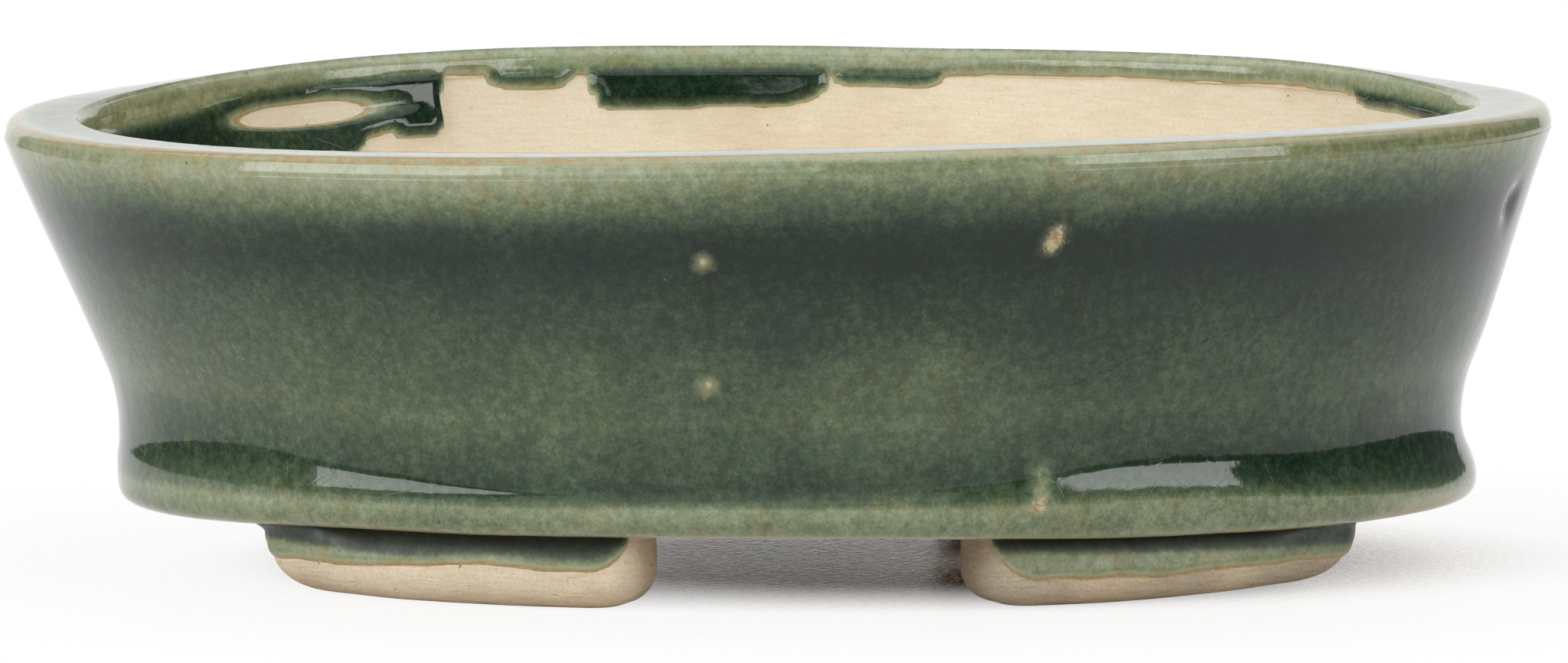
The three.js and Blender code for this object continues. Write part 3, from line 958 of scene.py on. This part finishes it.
for seed, (name, (surface, side_x, side_y)) in enumerate(feet.items()):
    edge, edge_fall, pool_and_shade_start, pool_and_shade_rise, pool_and_shade_coat, thin_coat = foot_glazes[seed]
    glazed = surface[glazed_plan]
    face = blend(glazed[:, low_row], glazed[:, high_row], row_part)
    placed = under_oval(face, side_x, side_y)
    wander = foot_edge_wave * ripple(placed, 7, 31 + seed) + 0.12 * ripple(placed, 2, 41 + seed)
    bare_end = 3.4 * (1 - np.clip((face[..., 0] - 0.2) / 4.0, 0, 1)) ** 3
    bare_side = 3.5 * ease(ways[:, 0], 0.35, 0.8)[:, None]
    fall = edge_fall * ease(face[..., 0], 14, 32)
    edge_level = edge - fall + wander + bare_end + bare_side
    to_edge = face[..., 2] - edge_level
    # Under the band the coat rises for pooled glaze and also as painted shade from the band's overhang.
    pool_and_shade_level = pool_and_shade_start + pool_and_shade_rise * face[..., 0]
    neck_pool_and_shade = pool_and_shade_coat * ease(face[..., 2], pool_and_shade_level - 0.45, pool_and_shade_level + 0.45)
    colour_coat = (thin_coat + neck_pool_and_shade) * (1 + 0.12 * ripple(placed, 3, 51 + seed))
    colour_coat = np.minimum(colour_coat, 0.03 + 0.4 * np.maximum(to_edge, 0))
    thick = foot_glaze_coat * np.sqrt(np.clip(to_edge / 0.7, 0, 1))
    thick = thick + foot_bare_depth * np.clip(-to_edge / 0.2, 0, 1)
    thick = blend(thick, foot_bare_depth, end_share)
    outer = face.copy()
    outer[..., :2] += ways[:, None] * thick[..., None]
    inner = face[:, ::-1].copy()
    inner[..., :2] += ways[:, None] * hidden_depth
    shell = np.hstack([outer, inner])
    shell_coat = np.hstack([colour_coat, np.full(thick.shape, 0.3)])
    shell_points = under_oval(shell, side_x, side_y).reshape(-1, 3)
    columns = shell.shape[1]
    corners = list(range(len(shell_points)))
    end_caps = [corners[:columns], corners[-columns:][::-1]]
    skin_piece = mesh_piece("glaze_on_" + name, shell_points,
                            grid_faces(len(glazed_plan), columns, False, True), end_caps, foot_glaze)
    keep_glaze(skin_piece, shell_coat, np.full(shell_coat.shape, foot_stain), name + "_glaze")

# Studio
# A wide white table under the pot and a white paper sweep behind it, with a soft box on each side in
# front, a weak card near the camera, a soft ceiling and a dim room. The camera stands where the
# photographer did.

table_reach = 7.0
table_front = -0.7
shadow_aside = 9
shadow_back = 3
backdrop_radius = 6.0
backdrop_height = 4.5


def glow_white(shader, share=1.0):
    """Adds to a surface, when it is looked at or mirrored, a share of white glow that lights nothing."""
    tree = shader.id_data
    path = tree.nodes.new("ShaderNodeLightPath").outputs
    looked_at = maths("MAXIMUM", path["Is Camera Ray"], maths(
        "MAXIMUM", path["Is Glossy Ray"], path["Is Transmission Ray"]))
    glow = node("ShaderNodeEmission", {"Color": (1, 1, 1, 1), "Strength": 1.0}, tree=tree)
    either = node("ShaderNodeMixShader", {0: times(looked_at, share), 1: shader.outputs[0], 2: glow})
    feed(tree.nodes["Material Output"], {"Surface": either})


def paper_white():
    """Matt white paper, plain white to look at."""
    material, shader, place = new_finish("paper_white")
    feed(shader, {"Base Color": (0.9, 0.9, 0.9, 1), "Roughness": 0.9})
    glow_white(shader)
    return material


def table_white():
    """White laminate with a fine pebbled face. It keeps the pot's shadow round the pot and turns to plain
    white further out, except in front, where the room is dim."""
    material, shader, place = new_finish("table_white")
    pebbles = lumps(place, 1500, 2)
    grainy = mixed(between(pebbles, 0.36, 0.64), (0.58, 0.475, 0.4, 1), (0.98, 0.91, 0.85, 1))
    feed(shader, {"Base Color": grainy, "Roughness": 0.23, "Specular IOR Level": 0.35,
                  "Normal": relief(pebbles, 1.0, 0.5 * mm)})
    from_pot = length_of(seen_from(place, (shadow_aside * mm, shadow_back * mm, 0),
                                   sizes=(half_length * mm, half_width * mm, 1)))
    where = axes_of(place)
    aside = maths("ABSOLUTE", where["X"])
    lit = maths("MAXIMUM", between(where["Y"], -0.42, -0.13), between(aside, 0.2, 0.5))
    white = maths("ADD", between(from_pot, 0.37, 0.95, 0.0, 0.9), between(from_pot, 1.0, 1.9, 0.0, 0.1))
    glow_white(shader, times(white, lit))
    return material


def stage_piece(name, points, faces, material):
    """A piece of the studio, which is no part of the pot."""
    mesh = new_mesh(name, points, faces)
    mesh.materials.append(material)
    piece = new_object(name, mesh)


table_corners = [(-table_reach, table_front, 0), (table_reach, table_front, 0),
                 (table_reach, table_reach, 0), (-table_reach, table_reach, 0)]
stage_piece("table", table_corners, [(0, 1, 2, 3)], table_white())
sweep_turns = np.radians(np.arange(62, 119, 4))
sweep_points = [(backdrop_radius * math.cos(turn), backdrop_radius * math.sin(turn), level)
                for turn in sweep_turns for level in (0, backdrop_height)]
sweep_faces = [(low, low + 1, low + 3, low + 2) for low in range(0, len(sweep_points) - 2, 2)]
stage_piece("paper_sweep", sweep_points, sweep_faces, paper_white())


def soft_box(name, azimuth, elevation, distance, width, height, radiance):
    """A rectangular lamp aimed at the pot; azimuth is to the right of the camera's side, in degrees."""
    lamp = bpy.data.lights.new(name, "AREA")
    lamp.shape = "RECTANGLE"
    lamp.size = width
    lamp.size_y = height
    lamp.energy = radiance * math.pi * width * height
    turn = math.radians(azimuth)
    tilt = math.radians(elevation)
    place = Vector((math.sin(turn) * math.cos(tilt), -math.cos(turn) * math.cos(tilt), math.sin(tilt)))
    box = new_object(name, lamp)
    box.location = place * distance
    box.rotation_euler = place.to_track_quat("Z", "Y").to_euler()
    box.visible_camera = False


soft_box("left_box", -57.5, 22.5, 1.0, 0.7, 0.48, 4.9)
soft_box("right_box", 53, 19.5, 1.0, 0.555, 0.38, 5.3)
soft_box("front_card", -16, 25, 1.2, 0.8, 0.45, 1.5)
soft_box("ceiling", 0, 90, 1.3, 2.4, 2.4, 1.13)

scene = bpy.context.scene
world = bpy.data.worlds.new("dim_room")
world.use_nodes = True
world.node_tree.nodes["Background"].inputs["Color"].default_value = (0.12, 0.123, 0.13, 1)
scene.world = world
scene.view_settings.view_transform = "Standard"

camera_distance = 1.464
camera_elevation = math.radians(5.587)
camera_heading = math.radians(1.5)
aim_left = math.radians(0.0412)
camera_pitch = math.radians(4.872)
camera_roll = math.radians(-0.139)
focal_pixels = 24198.5
photo_width = 2048

camera_data = bpy.data.cameras.new("camera")
camera_data.sensor_width = 36
camera_data.lens = focal_pixels * camera_data.sensor_width / photo_width
camera = new_object("camera", camera_data)
stand = Vector((-math.sin(camera_heading) * math.cos(camera_elevation),
                -math.cos(camera_heading) * math.cos(camera_elevation), math.sin(camera_elevation)))
camera.matrix_world = (
    Matrix.Translation(stand * camera_distance)
    @ Matrix.Rotation(aim_left - camera_heading, 4, "Z")
    @ Matrix.Rotation(math.pi / 2 - camera_pitch, 4, "X")
    @ Matrix.Rotation(camera_roll, 4, "Z"))
scene.camera = camera
